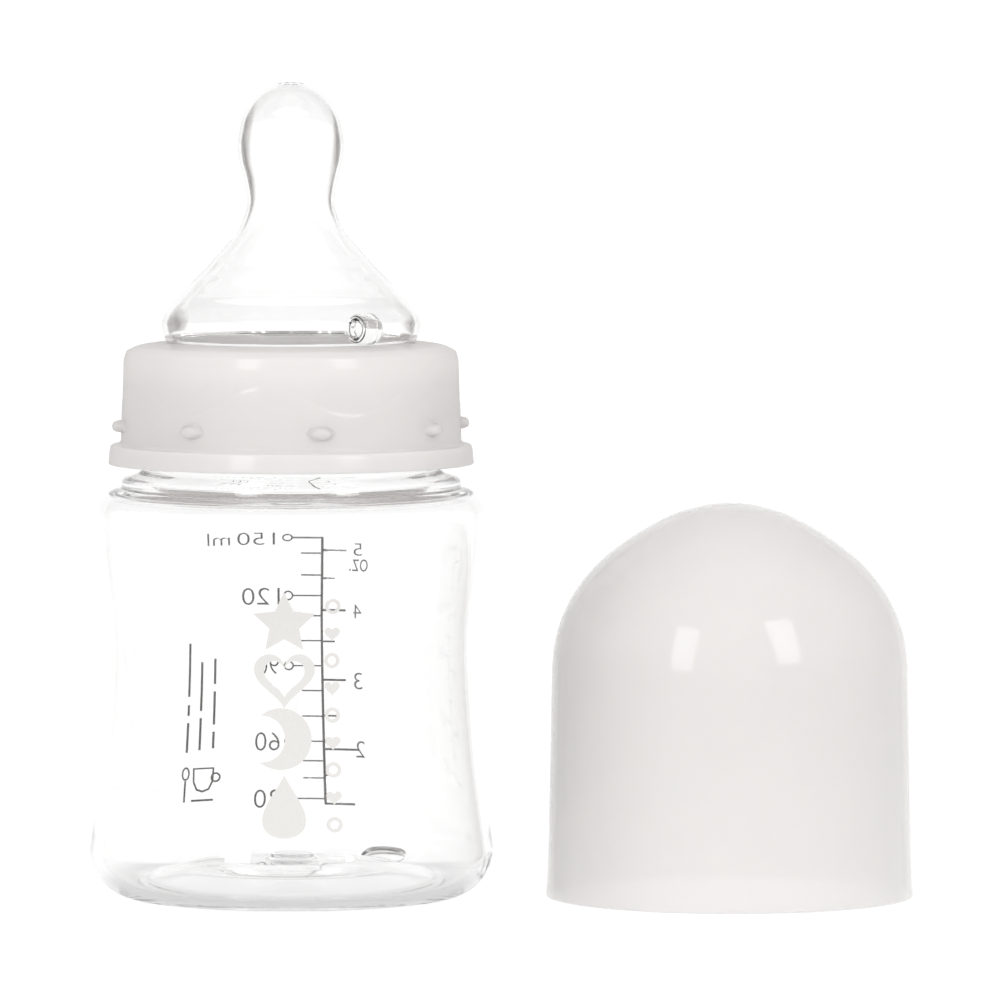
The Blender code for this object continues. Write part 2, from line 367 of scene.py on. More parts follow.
def clear_look(name, edge_shade_stops, ior, dullest, flat, drift=0.0):
    """Clear plastic or silicone, darker where an upright wall is seen edge-on.

    edge_shade_stops give the wall's tint, from face-on to edge-on; its dark edge-on end is painted
    shade, which stands in for the dark studio seen through the wall at a slant. dullest is the
    roughness of its dullest patches. The higher flat is, the nearer to level a wall has to be to lose
    its painted dark edge. drift makes the painted dark edges wider and narrower from place to place.
    """
    n = new_material(name)
    normal = n.add("SeparateXYZ", Vector=n.add("NewGeometry").outputs["Normal"])
    level = n.math("POWER", n.math("ABSOLUTE", normal.outputs["Z"]), flat)
    upright = n.math("SUBTRACT", 1.0, level)
    wander = n.ramp(n.noise(70.0, 1.0), -drift, drift, 0.35, 0.65)
    # painted shade: the tint darkens where an upright wall is seen edge-on, for the dark studio seen
    # through it
    edge = n.math("MULTIPLY_ADD", n.facing(), upright, wander)
    stops = [(place, (v, v**GREEN_POWER, v**BLUE_POWER)) for place, v in edge_shade_stops]
    surface = n.add(
        "BsdfPrincipled",
        IOR=ior,
        Transmission_Weight=1.0,
        Base_Color=n.colours(edge, stops),
        Roughness=n.ramp(n.noise(60.0, 4.0), 0.0, dullest, 0.3, 0.7),
        Normal=n.bump(n.noise(110.0, 2.0), CLEAR_RIPPLE),
    )
    return n.finish(surface)


def milky_look(name, light, dark, through, glow):
    """Milky plastic or silicone: scatters most light, passes some, with a soft moulded gloss.

    through gives how much goes straight through, from face-on to edge-on, where only the thin wall is
    seen. glow is the share of the scattered light that comes out on the other side.
    """
    n = new_material(name)
    tone = n.colours(n.noise(45.0, 5.0, (1, 1, 0.5)), [(0.3, dark), (0.7, light)])
    surface = n.add(
        "BsdfPrincipled",
        IOR=1.49,
        Base_Color=tone,
        Subsurface_Weight=0.85,
        Subsurface_Radius=(1.0, 0.96, 0.92),
        Subsurface_Scale=0.001,
        Roughness=n.ramp(n.noise(900.0, 2.0), 0.04, 0.07, 0.3, 0.7),
        Normal=n.bump(n.noise(160.0, 3.0), MILKY_RIPPLE),
    )
    scatter = n.mix_shaders(glow, surface, n.add("BsdfTranslucent", Color=tone))
    share = n.colours(n.facing(), through)
    return n.finish(n.mix_shaders(share, scatter, n.add("BsdfTransparent")))


def ink_look(name, colour, speckle):
    """Printed ink, slightly uneven in cover and sheen. Its thin spots are speckle times as light."""
    n = new_material(name)
    lighter = tuple(min(1.0, c * speckle) for c in colour)
    surface = n.add(
        "BsdfPrincipled",
        Base_Color=n.colours(n.noise(2500.0, 3.0), [(0.45, colour), (0.75, lighter)]),
        Roughness=n.ramp(n.noise(1500.0), 0.45, 0.65),
        Normal=n.bump(n.noise(1800.0), INK_GRAIN),
    )
    return n.finish(surface)


PLASTIC = {"ior": 1.49, "dullest": 0.03, "flat": 6.0}
RUBBER = {"ior": 1.41, "dullest": 0.04, "flat": 2.0}
# The last, edge-on stops of each clear look are painted shade, for the dark studio seen through a
# slanted wall
CLEAR_PLASTIC = clear_look(
    "clear_polypropylene",
    [(0.0, 0.99), (0.6, 0.98), (0.8, 0.93), (0.93, 0.86), (1.0, 0.5)],
    **PLASTIC,
)
CLEAR_INSIDE = clear_look(
    "clear_polypropylene_inside",
    [(0.0, 0.985), (0.6, 0.98), (0.85, 0.85), (1.0, 0.5)],
    drift=0.08,
    **PLASTIC,
)
SILICONE = clear_look(
    "clear_silicone",
    [(0.0, 0.99), (0.6, 0.96), (0.8, 0.7), (1.0, 0.2)],
    **RUBBER,
)
SILICONE_INSIDE = clear_look(
    "clear_silicone_inside",
    [(0.0, 0.985), (0.53, 0.97), (0.62, 0.4), (0.7, 0.06), (1.0, 0.02)],
    drift=0.14,
    **RUBBER,
)
RING_THROUGH = [(0.0, 0.03), (0.6, 0.01), (1.0, 0.0)]
MILKY_RING = milky_look("milky_ring", (0.88, 0.865, 0.857), (0.865, 0.848, 0.842), RING_THROUGH, 0.6)
# Painted shade: the lugs get a darker copy of the ring's look, against the extra light that they catch
# and scatter
MILKY_LUG_PAINTED_SHADE = milky_look("milky_lug_painted_shade", (0.78, 0.765, 0.757), (0.765, 0.748, 0.742), RING_THROUGH, 0.6)
MILKY_FLANGE = milky_look(
    "milky_silicone",
    (0.96, 0.95, 0.945),
    (0.94, 0.93, 0.925),
    [(0.0, 0.05), (1.0, 0.05)],
    0.5,
)
MILKY_CAP = milky_look(
    "milky_cap",
    (0.77, 0.76, 0.75),
    (0.755, 0.74, 0.735),
    [(0.0, 0.28), (0.5, 0.26), (0.66, 0.22), (0.8, 0.4), (0.9, 0.6), (1.0, 0.7)],
    0.4,
)
DARK_INK = ink_look("dark_ink", (0.10, 0.09, 0.085), 2.0)
PALE_INK = ink_look("pale_ink", (0.51, 0.50, 0.485), 1.04)


# The bottle

BASE_RADIUS, HEEL_RADIUS = 33.1, 7.8
WAIST_RADIUS, WAIST_HEIGHT = 30.25, 41.0
SHOULDER_RADIUS, SHOULDER_HEIGHT, SHOULDER_TOP = 31.9, 62.0, 67.0
NECK_RADIUS, NECK_BORE, NECK_FOOT, LIP = 24.4, 22.9, 69.9, 85.8
SHOULDER_FLAT = 28.2  # where the shoulder's curve starts
BOTTLE_WALL, HEEL_WALL, HEEL_THICKENS = 1.3, 1.6, 12.0
LEAD, THREAD_TURNS, THREAD_DEPTH, THREAD_START = 5.0, 1.25, 1.1, 76.2
THREAD_REACH, THREAD_FLANK = 1.15, 0.6  # from the ridge's middle to its foot, and its side's width
THREAD_RUNOUT = 0.35  # radians at each end over which the ridge fades
THREAD_STEP = 0.25  # between the rows of points that carry the ridge
NECK_ROWS, NECK_ROWS_TOP = 39, 84.4


def body_radius(height):
    """The bottle's outer radius between the heel and the shoulder."""
    if height > WAIST_HEIGHT:
        t = (height - WAIST_HEIGHT) / (SHOULDER_HEIGHT - WAIST_HEIGHT)
        return WAIST_RADIUS + (SHOULDER_RADIUS - WAIST_RADIUS) * (1 - cos(pi * t)) / 2
    t = (WAIST_HEIGHT - height) / (WAIST_HEIGHT - HEEL_RADIUS)
    return WAIST_RADIUS + (BASE_RADIUS - WAIST_RADIUS) * t**1.7


def wall(height):
    """How thick the bottle's wall is; it thickens towards the heel."""
    return BOTTLE_WALL + (HEEL_WALL - BOTTLE_WALL) * ease((HEEL_THICKENS - height) / HEEL_THICKENS)


def thread_height(angle, z, start_height):
    """How far the right-handed ridge, which starts at +X, stands at that place."""
    most = 0.0
    start = (angle - pi / 2) % tau
    for a in (start, start + tau):
        if a > tau * THREAD_TURNS:
            continue
        off = abs(z - start_height - LEAD * a / tau)
        ends = min(1.0, a / THREAD_RUNOUT, (tau * THREAD_TURNS - a) / THREAD_RUNOUT)
        most = max(most, ease((THREAD_REACH - off) / THREAD_FLANK) * ends)
    return THREAD_DEPTH * most


def bottle_outline():
    """The wall of the bottle, down the outside and up the inside, and where its inside starts."""
    thread_zone = [(NECK_RADIUS, NECK_ROWS_TOP - THREAD_STEP * i) for i in range(NECK_ROWS)]
    neck = rounded(
        [(NECK_RADIUS - 0.9, LIP), (NECK_RADIUS, LIP, 0.5), (NECK_RADIUS, 84.6)], 0.4
    )
    bead = rounded(
        [
            (NECK_RADIUS, 74.6),
            (NECK_RADIUS, NECK_FOOT, 0.7),
            (26.3, 69.3, 0.5),
            (27.75, 68.6, 0.6),
            (27.85, 67.25, 0.2),
            (28.25, SHOULDER_TOP),
        ],
        0.4,
    )
    shoulder_reach, shoulder_rise = SHOULDER_RADIUS - SHOULDER_FLAT, SHOULDER_TOP - SHOULDER_HEIGHT
    shoulder = arc((SHOULDER_FLAT, SHOULDER_HEIGHT), shoulder_reach, shoulder_rise, 90, 0, 12)[1:-1]
    side = [
        (body_radius(z), z)
        for z in (SHOULDER_HEIGHT + (HEEL_RADIUS - SHOULDER_HEIGHT) * i / 60 for i in range(61))
    ]
    heel_centre = (BASE_RADIUS - HEEL_RADIUS, HEEL_RADIUS)
    heel = arc(heel_centre, HEEL_RADIUS, HEEL_RADIUS, -6, -84, 13)
    outer_body = [*shoulder, *side, *heel]
    underside = rounded(
        [
            (25.3, 0.0),
            (24.0, 0.0, 0.4),
            (22.2, 0.9, 0.8),
            (16.6, 3.2, 2.0),
            (10.6, 4.0, 0.3),
            (10.2, 4.5, 0.25),
            (0.0, 4.5),
        ],
        0.8,
    )
    outside = [*neck, *thread_zone, *bead, *outer_body, *underside]
    floor = rounded(
        [
            (0.0, 6.9),
            (3.3, 6.9, 0.5),
            (4.1, 5.8, 0.5),
            (10.6, 5.6, 1.0),
            (17.1, 5.0, 2.0),
            (22.6, 2.8, 1.2),
            (24.9, 1.75, 0.7),
        ],
        0.8,
    )
    inner_body = inset([*shoulder[2:], *side, *heel[:-1]], lambda z: -wall(z))[::-1]
    inner_neck = rounded(
        [
            inner_body[-1],
            (27.6, 65.6, 1.0),
            (24.0, 65.9, 1.2),
            (NECK_BORE, 68.3, 1.2),
            (NECK_BORE, LIP, 0.5),
            (NECK_RADIUS - 0.95, LIP),
        ],
        0.6,
    )
    return [*outside, *floor[:-1], *inner_body, *inner_neck[1:-1]], len(outside)


NOTCH_ANGLE, NOTCH_TILT = 150.0, radians(45)
NOTCH_SECTIONS, NOTCH_POINTS, NOTCH_HALF_POINTS = 24, 28, 16
NOTCH_FULLNESS = 0.6  # below 1, the lens is blunter at its two ends


def notch(length, width, start, depth, half):
    """A lens lying along the heel at the back right, from half its length and width and its depth.

    It is centred start mm out from the heel's surface; half keeps only its inner side.
    """
    outward = from_front(NOTCH_ANGLE, 1.0, 0.0)
    along = from_front(NOTCH_ANGLE + 90, 1.0, 0.0)
    out = outward * cos(NOTCH_TILT) - Vector((0, 0, sin(NOTCH_TILT)))
    wide = outward * sin(NOTCH_TILT) + Vector((0, 0, cos(NOTCH_TILT)))
    heel = HEEL_RADIUS * cos(NOTCH_TILT)
    middle = from_front(NOTCH_ANGLE, BASE_RADIUS - HEEL_RADIUS + heel, HEEL_RADIUS - heel, BOTTLE_X)
    if half:
        turns = [pi / 2 + pi * m / NOTCH_HALF_POINTS for m in range(NOTCH_HALF_POINTS + 1)]
    else:
        turns = [tau * m / NOTCH_POINTS for m in range(NOTCH_POINTS)]
    sections = []
    for k in range(1, NOTCH_SECTIONS):
        a = pi * k / NOTCH_SECTIONS
        swell = sin(a) ** NOTCH_FULLNESS
        sections.append(
            [
                middle
                - along * (length * cos(a))
                + out * (start + depth * swell * cos(b))
                + wide * (width * swell * sin(b))
                for b in turns
            ]
        )
    return skin(sections)


def make_bottle():
    """The clear bottle, with its thread and the lens-shaped notch in the heel."""

    def shape(angle, i, r, z):
        if abs(r - NECK_RADIUS) < TINY:
            r += thread_height(angle, z, THREAD_START)
        return r, z

    outline, first_inside = bottle_outline()
    verts, faces, places = turned(outline, BOTTLE_X, shape)
    bottle = add_piece("bottle_shell", verts, faces, "bottle_body", CLEAR_PLASTIC)
    line_inside(bottle, CLEAR_INSIDE, places, first_inside)
    combine(bottle, [notch(4.7, 2.4, -1.0, 2.0, half=True)], "UNION")
    combine(bottle, [notch(4.1, 1.9, 0.0, 1.4, half=False)], "DIFFERENCE")
    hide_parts("bottle")


# The screw ring

RING_FOOT, RING_BORE = 71.1, 25.9
RING_RADIUS, RING_RADIUS_HEIGHT, RING_LEAN = 27.9, 74.4, 0.03  # the side leans in above that height
RING_ROWS, RING_ROWS_FOOT, RING_THREAD_TOP = 34, 72.4, 81.0
WAVES, WAVE_SWING, WAVE_STEP, WAVE_CREST = 6, 2.25, 0.07, -7.8
WAVE_ZONE_TOP, WAVE_ZONE_FOOT, WAVE_FADE = 85.2, 79.2, 2.3
LUGS, FIRST_LUG, LUG_HEIGHT, LUG_POINTS = 8, 11.0, 77.5, 28
LUG_SHAPE = 1.75  # width over height
LUG_ZONE, LUG_STANDS = 2, 0.1  # a face that near its height and that far out belongs to a lug
# How far a lug's sections are from the axis, and half their heights
LUG_SECTIONS = (
    (27.3, 1.5),
    (27.75, 1.3),
    (27.95, 1.15),
    (28.25, 1.03),
    (28.7, 0.95),
    (29.1, 0.84),
    (29.4, 0.66),
    (29.55, 0.4),
)


def ring_radius(height):
    """The ring's outer radius below the wave."""
    return RING_RADIUS - RING_LEAN * (height - RING_RADIUS_HEIGHT)


def ring_outline():
    """The wall of the screw ring as a closed loop, and the places between which the wave moves it."""
    above = rounded(
        [
            (20.9, 91.05),
            (25.2, 90.45, 0.7),
            (27.0, 89.55, 0.2),
            (ring_radius(88.2) - WAVE_STEP, 88.2, 0.6),
            (ring_radius(WAVE_ZONE_TOP) - WAVE_STEP, WAVE_ZONE_TOP),
        ],
        0.4,
    )
    wave = [(ring_radius(z) - WAVE_STEP, z) for z in (84.7, 84.2, 83.7, 83.3, 83.0, 82.85)]
    middle = ring_radius(82.5) - WAVE_STEP
    wave += [(middle + WAVE_STEP * t, 82.72 - 0.42 * t) for t in (0.05, 0.3, 0.7, 0.95, 1.0)]
    wave += [(ring_radius(z), z) for z in (82.1, 81.8, 81.4, 80.9, 80.3, 79.7)]
    below = rounded(
        [
            (ring_radius(WAVE_ZONE_FOOT), WAVE_ZONE_FOOT),
            (27.9, 74.8, 0.3),
            (28.4, 74.35, 0.25),
            (29.5, 74.2, 0.3),
            (29.7, 73.6, 0.25),
            (29.95, 71.1, 0.25),
            (26.5, RING_FOOT, 0.3),
            (RING_BORE, 71.7, 0.3),
            (RING_BORE, 72.2),
        ],
        0.5,
    )
    bore = [(RING_BORE, RING_ROWS_FOOT + THREAD_STEP * i) for i in range(RING_ROWS)]
    lid = rounded(
        [
            (RING_BORE, RING_THREAD_TOP),
            (RING_BORE, 87.6, 0.4),
            (22.6, 87.6, 0.5),
            (19.8, 89.5, 0.4),
            (19.8, 91.2, 0.45),
            (20.8, 91.07),
        ],
        0.6,
    )
    return [*above, *wave, *below, *bore, *lid], len(above), len(above) + len(wave)


def make_ring():
    """The screw ring, with the wave round its side, the cap lugs and its thread."""
    outline, first, last = ring_outline()

    def shape(angle, i, r, z):
        if first <= i < last:
            share = min(1.0, (WAVE_ZONE_TOP - z) / WAVE_FADE, (z - WAVE_ZONE_FOOT) / WAVE_FADE)
            rise = WAVE_SWING * cos(WAVES * (angle - radians(WAVE_CREST))) * share
            return r - RING_LEAN * rise, z + rise
        if abs(r - RING_BORE) < TINY and z < RING_THREAD_TOP:
            r -= thread_height(angle, z, THREAD_START - LEAD / 2)
        return r, z

    verts, faces, _ = turned(outline, BOTTLE_X, shape, RING_SIDES)
    ring = add_piece("ring_shell", verts, faces, "ring_body", MILKY_RING, RING_SHARP)
    lugs = []
    for i in range(LUGS):
        angle = FIRST_LUG + 360 * i / LUGS
        across = from_front(angle + 90, 1.0, 0.0)
        lug = []
        for reach, size in LUG_SECTIONS:
            middle = from_front(angle, reach, LUG_HEIGHT, BOTTLE_X)
            lug.append(upright_oval(middle, across, LUG_SHAPE * size, size, LUG_POINTS))
        lugs.append(skin(lug))
    combine(ring, lugs, "UNION")
    ring.data.materials.append(MILKY_LUG_PAINTED_SHADE)
    # painted shade: the lugs' faces take the darker copy of the ring's look
    for face in ring.data.polygons:
        x, y, z = face.center / MM
        outside = hypot(x - BOTTLE_X, y) - ring_radius(z)
        if abs(z - LUG_HEIGHT) < LUG_ZONE and outside > LUG_STANDS:
            face.material_index = 1
    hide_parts("screw_ring")


# The teat

SKIRT_WALL, NIPPLE_WALL, THINS_FROM, THINS_OVER = 0.9, 0.55, 100.0, 12.0
TEAT_TOP, TIP_HOLE = 133.6, 0.35
FLANGE_TOP = 90.85
VENT_ANGLE, VENT_REACH, VENT_HEIGHT, VENT_POINTS = 34.5, 21.9, 93.95, 40
VENT_AXIS = -44.0  # the angle that the barrel's open end faces
# The barrel's end, its side and the shallow recess in its open end, as (place along the axis, radius)
VENT_PROFILE = (
    (2.5, 0.6),
    (2.35, 1.3),
    (2.0, 1.95),
    (1.5, 2.4),
    (0.9, 2.6),
    (-0.9, 2.6),
    (-1.75, 2.5),
    (-2.15, 2.2),
    (-2.25, 1.85),
    (-2.1, 1.5),
    (-1.75, 1.3),
    (-1.5, 1.2),
    (-1.4, 0.9),
)


def teat_wall(height):
    """How thick the teat is; it thins from the skirt up to the nipple."""
    t = min(1.0, max(0.0, (height - THINS_FROM) / THINS_OVER))
    return SKIRT_WALL + (NIPPLE_WALL - SKIRT_WALL) * t


def teat_outline():
    """The teat's clear wall, from its tip hole down and up the inside, and where its inside starts."""
    nipple_and_skirt = smooth(
        [
            (2.2, 133.35),
            (4.4, 132.3),
            (6.35, 130.4),
            (7.8, 127.95),
            (8.4, 125.6),
            (8.7, 123.2),
            (8.45, 120.7),
            (7.75, 118.0),
            (7.25, 115.4),
            (7.15, 114.0),
            (7.4, 112.3),
            (8.3, 110.0),
            (9.4, 108.3),
            (11.1, 106.3),
            (12.75, 104.5),
            (14.15, 102.9),
            (15.8, 101.3),
            (18.0, 98.9),
            (19.6, 97.3),
            (20.7, 95.7),
            (21.2, 94.3),
            (21.1, 92.9),
            (20.85, 92.0),
        ],
        0.35,
    )
    tip = rounded(
        [
            (TIP_HOLE, TEAT_TOP - 0.35),
            (TIP_HOLE, 133.55, 0.15),
            (1.2, TEAT_TOP, 0.4),
            (2.2, 133.35),
        ],
        0.25,
    )
    outer = [*tip[:-1], *nipple_and_skirt]
    foot = rounded(
        [
            outer[-1],
            (20.5, 91.35, 0.3),
            (19.55, 91.1, 0.2),
            (19.55, FLANGE_TOP),
            (18.9, FLANGE_TOP),
        ],
        0.4,
    )
    inner = inset(nipple_and_skirt, lambda z: -teat_wall(z))[::-1]
    under_tip = TEAT_TOP - teat_wall(TEAT_TOP) - 0.15
    inner_tip = [(1.2, under_tip), (TIP_HOLE, under_tip)]
    return [*outer, *foot[1:], *inner, *inner_tip], len(outer) + len(foot) - 1


def flange_outline():
    """The teat's milky lower part, which the ring clamps on the bottle's lip."""
    top = FLANGE_TOP - 0.03  # just clear of the clear part
    return rounded(
        [
            (19.5, top),
            (19.5, 89.2, 0.5),
            (21.8, 87.3, 0.4),
            (25.2, 87.3, 0.3),
            (25.2, 86.1, 0.3),
            (17.9, 86.1, 0.4),
            (18.3, 88.0, 0.5),
            (18.3, top),
        ],
        0.6,
    )


def make_teat():
    """The soft teat, with its flange, the hole in its tip and the vent's barrel."""
    outline, first_inside = teat_outline()
    verts, faces, places = turned(outline, BOTTLE_X)
    teat = add_piece("teat_shell", verts, faces, "teat_body", SILICONE)
    line_inside(teat, SILICONE_INSIDE, places, first_inside)
    verts, faces, _ = turned(flange_outline(), BOTTLE_X)
    add_piece("teat_flange", verts, faces, "teat_body", MILKY_FLANGE)
    along, across = from_front(VENT_AXIS, 1.0, 0.0), from_front(VENT_AXIS + 90, 1.0, 0.0)
    middle = from_front(VENT_ANGLE, VENT_REACH, VENT_HEIGHT, BOTTLE_X)
    barrel = [
        upright_oval(middle - along * offset, across, radius, radius, VENT_POINTS)
        for offset, radius in VENT_PROFILE
    ]
    combine(teat, [skin(barrel)], "UNION")
    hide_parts("teat")


# The cap

CAP_WALL = 1.1


def cap_outline():
    """The wall of the dome cap, from the top down the outside and up the inside."""
    dome = smooth(
        [
            (1.2, 64.58),
            (3.0, 64.4),
            (5.3, 63.95),
            (9.6, 62.6),
            (14.5, 60.0),
            (18.5, 57.3),
            (21.9, 54.4),
            (24.9, 50.8),
            (27.1, 46.9),
            (28.5, 42.9),
            (29.1, 39.0),
            (29.25, 35.0),
            (29.5, 22.0),
            (29.75, 9.0),
            (29.85, 5.2),
        ],
        0.7,
    )
    rim = rounded(
        [
            (29.85, 5.2),
            (29.95, 2.8, 0.8),
            (30.1, 0.9),
            (30.1, 0.0, 0.3),
            (29.0, 0.0, 0.3),
            (29.0, 0.5),
        ],
        0.5,
    )
    outer = [(0.0, 64.6), *dome, *rim[1:]]
    inner = inset(dome, lambda z: -CAP_WALL)[::-1]
    return [*outer, *inner, (0.0, 63.5)]


def make_cap():
    """The dome cap, standing on its rim."""
    verts, faces, _ = turned(cap_outline(), CAP_X)
    cap = add_piece("cap_shell", verts, faces, "cap_body", MILKY_CAP)
    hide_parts("cap")


# The print, as thin raised ink on the outside of the bottle

INK_LIFTS = 0.03, -0.05  # how far the ink's top and its foot are out from the wall's surface
FRONT, BACK = -1, 1
EDGE_STEP, FILL_START, FILL_STEP = 0.9, 0.7, 1.1  # spacing of points that let the ink bend round


def on_wall(side, across, z, lift):
    """A point on the bottle's front or back wall, across mm along it towards +X."""
    r = body_radius(z) + lift
    a = across / WAIST_RADIUS
    return Vector((BOTTLE_X + r * sin(a), side * r * cos(a), z))


def printed(name, shapes, side, look):
    """Thin solids over flat shapes, each a list of closed loops of (across, z): outline, then holes."""
    verts, faces = [], []
    for loops in shapes:
        points, edges = [], []
        for loop in loops:
            closed = dense([*loop, loop[0]], EDGE_STEP)[:-1]
            first = len(points)
            points += [Vector(p) for p in closed]
            count = len(closed)
            edges += [(first + i, first + (i + 1) % count) for i in range(count)]
        xs, zs = [p.x for p in points], [p.y for p in points]
        x = min(xs) + FILL_START
        while x < max(xs):
            z = min(zs) + FILL_START
            while z < max(zs):
                # a little off the grid, so that no four points lie on one circle
                points.append(Vector((x + 0.01 * sin(z * 7), z + 0.01 * cos(x * 5))))
                z += FILL_STEP
            x += FILL_STEP
        flat, _, cells, *_ = geometry.delaunay_2d_cdt(points, edges, [], 1, 1e-5)
        cells = [c for c in cells if inside(sum((flat[i] for i in c), Vector((0, 0))) / len(c), loops)]
        used = sorted({i for c in cells for i in c})
        new = {v: len(verts) + k for k, v in enumerate(used)}
        size = len(used)
        for lift in INK_LIFTS:
            verts += [on_wall(side, flat[v].x, flat[v].y, lift) for v in used]
        rim = {}  # the cells' edges that have a cell on one side only, in order
        for c in cells:
            faces.append([new[v] for v in c])
            faces.append([new[v] + size for v in c][::-1])
            for a, b in zip(c, [*c[1:], c[0]]):
                if rim.pop((b, a), None) is None:
                    rim[(a, b)] = True
        faces += [[new[b], new[a], new[a] + size, new[b] + size] for a, b in rim]
    add_piece(name, verts, faces, "bottle_body", look, INK_SHARP)


def inside(point, loops):
    """True if the point is inside an odd number of the loops."""
    hits = 0
    for loop in loops:
        for a, b in zip(loop, [*loop[1:], loop[0]]):
            if (a[1] > point.y) != (b[1] > point.y):
                cross = a[0] + (point.y - a[1]) / (b[1] - a[1]) * (b[0] - a[0])
                hits += cross > point.x
    return hits % 2 == 1


def bar(x0, z0, x1, z1, width):
    """A straight stroke, as the loops of one shape."""
    dx, dz = x1 - x0, z1 - z0
    length = hypot(dx, dz)
    nx, nz = -dz / length * width / 2, dx / length * width / 2
    return [[(x0 + nx, z0 + nz), (x1 + nx, z1 + nz), (x1 - nx, z1 - nz), (x0 - nx, z0 - nz)]]


def oval(x, z, rx, rz):
    """A closed loop round an oval."""
    return [(x + rx * cos(a), z + rz * sin(a)) for a in (tau * k / 28 for k in range(28))]


LETTER_THINNING = -0.012  # in shares of the font's height


def numeral(text, x, z, width, height):
    """Printed numerals on the back, which start at x and read towards -X, as they do from behind."""
    curve = bpy.data.curves.new("label", "FONT")
    curve.body = text
    curve.resolution_u = 6
    curve.offset = LETTER_THINNING
    holder = bpy.data.objects.new("label", curve)
    bpy.context.scene.collection.objects.link(holder)
    graph = bpy.context.evaluated_depsgraph_get()
    mesh = bpy.data.meshes.new_from_object(holder.evaluated_get(graph), depsgraph=graph)
    bpy.data.objects.remove(holder)
    bpy.data.curves.remove(curve)
    bm = bmesh.new()
    bm.from_mesh(mesh)
    bmesh.ops.remove_doubles(bm, verts=bm.verts, dist=1e-4)
    left, right = min(v.co.x for v in bm.verts), max(v.co.x for v in bm.verts)
    foot, top = min(v.co.y for v in bm.verts), max(v.co.y for v in bm.verts)
    wide, tall = width / (right - left), height / (top - foot)
    middle = (foot + top) / 2
    flat = [(x - (v.co.x - left) * wide, z + (v.co.y - middle) * tall) for v in bm.verts]
    size = len(flat)
    verts = [on_wall(BACK, a, b, lift) for lift in INK_LIFTS for a, b in flat]
    faces = []
    for face in bm.faces:
        loop = [v.index for v in face.verts]
        faces += [loop, [i + size for i in loop][::-1]]
    for edge in bm.edges:
        if len(edge.link_faces) == 1:
            a, b = (v.index for v in edge.verts)
            faces.append([a, b, b + size, a + size])
    bm.free()
    bpy.data.meshes.remove(mesh)
    return verts, faces


SCALE_X, SCALE_TOP, SCALE_LEAN = 4.5, 57, 0.0082  # the print leans a little
# Where each numeral starts, the height of its middle, and its width and height
LABELS = (
    ("150", -3.3, 56.6, 6.3, 2.0),
    ("ml", -10.9, 56.6, 4.0, 2.0),
    ("120", -2.6, 47.15, 6.5, 2.75),
    ("90", -2.75, 35.6, 3.7, 2.95),
    ("60", -2.6, 22.8, 4.1, 3.1),
    ("30", -2.6, 13.1, 4.1, 3.1),
    ("5", 11.4, 54.9, 1.5, 2.05),
    ("oz.", 12.5, 52.3, 3.3, 2.0),
    ("4", 11.7, 44.8, 1.5, 2.3),
    ("3", 11.8, 33.1, 1.5, 2.8),
    ("2", 11.9, 21.6, 1.6, 2.8),
)


def make_scale():
    """The volume scale on the back: a line, ticks, open circles and numerals."""

    def line_at(z):
        return SCALE_X + SCALE_LEAN * (SCALE_TOP - z)

    def tick(z, reach, width):
        return bar(line_at(z), z, line_at(z) + reach, z, width)

    shapes = [bar(line_at(56.9), 56.9, line_at(12.1), 12.1, 0.42)]
    for z in (56.75, 47.25, 35.55, 22.8, 13.1):
        x = line_at(z) - 5.75
        shapes.append(bar(line_at(z), z, x + 0.78, z, 0.24))
        outer, inner = (0.8, 0.56) if z < 50 else (0.6, 0.38)  # the top one is flatter
        shapes.append([oval(x, z, 0.88, outer), oval(x, z, 0.62, inner)])
    shapes += [tick(z, -3.55, 0.24) for z in (54.2, 50.6, 43.95, 39.8, 31.35, 27.05, 19.5, 16.6)]
    ounces = ((54.7, 4.2), (44.9, 4.2), (33.2, 4.1), (21.5, 6.0), (12.25, 4.9))
    shapes += [tick(z, reach, 0.36) for z, reach in ounces]
    shapes += [tick(z, 2.25, 0.3) for z in (50.1, 39.7, 27.15, 17.1)]
    printed("scale_lines", shapes, BACK, DARK_INK)
    verts, faces = [], []
    for label in LABELS:
        v, f = numeral(*label)
        faces += [[i + len(verts) for i in face] for face in f]
        verts += v
    add_piece("scale_numerals", verts, faces, "bottle_body", DARK_INK, INK_SHARP)


# Where each column of dashes is, and each dash's two ends
DASHES = (
    (-19.15, ((21.4, 26.4), (27.6, 29.4), (30.8, 39.7))),
    (-16.65, ((21.7, 27.1), (28.3, 36.5))),
    (-14.1, ((21.9, 24.7), (25.9, 31.5), (32.7, 37.0))),
)
CUP = ((-2.0, 2.9), (-1.9, 0.5), (-1.2, -0.9), (0.0, -1.3), (1.2, -0.9), (1.9, 0.5), (2.0, 2.9))


def make_side_marks():
    """Plain dashes in three columns, with a cup and a spoon under them, at the back left."""
    shapes = [bar(x, start, x, end, 0.42) for x, dashes in DASHES for start, end in dashes]
    x, z = -15.7, 15.8
    hollow = [(a * 0.84, b * 0.86 + 0.15) for a, b in CUP]
    shapes.append([[(x + a, z + b) for a, b in loop] for loop in (CUP, hollow)])
    shapes.append([oval(x + 2.3, z + 1.2, 0.9, 0.85), oval(x + 2.3, z + 1.2, 0.6, 0.55)])
    shapes.append(bar(x - 2.0, z - 2.6, x + 2.0, z - 2.6, 0.34))
    x = -19.1
    shapes.append([oval(x, z + 2.0, 0.8, 1.15), oval(x, z + 2.0, 0.5, 0.85)])
    shapes.append(bar(x, z + 0.8, x, z - 2.8, 0.34))
    printed("side_marks", shapes, BACK, DARK_INK)


def star(x, z, size):
    """A five-pointed star."""
    turns = ((radians(90 + 36 * i), size * (1.0, 0.48)[i % 2]) for i in range(10))
    return [(x + reach * cos(a), z + reach * sin(a)) for a, reach in turns]


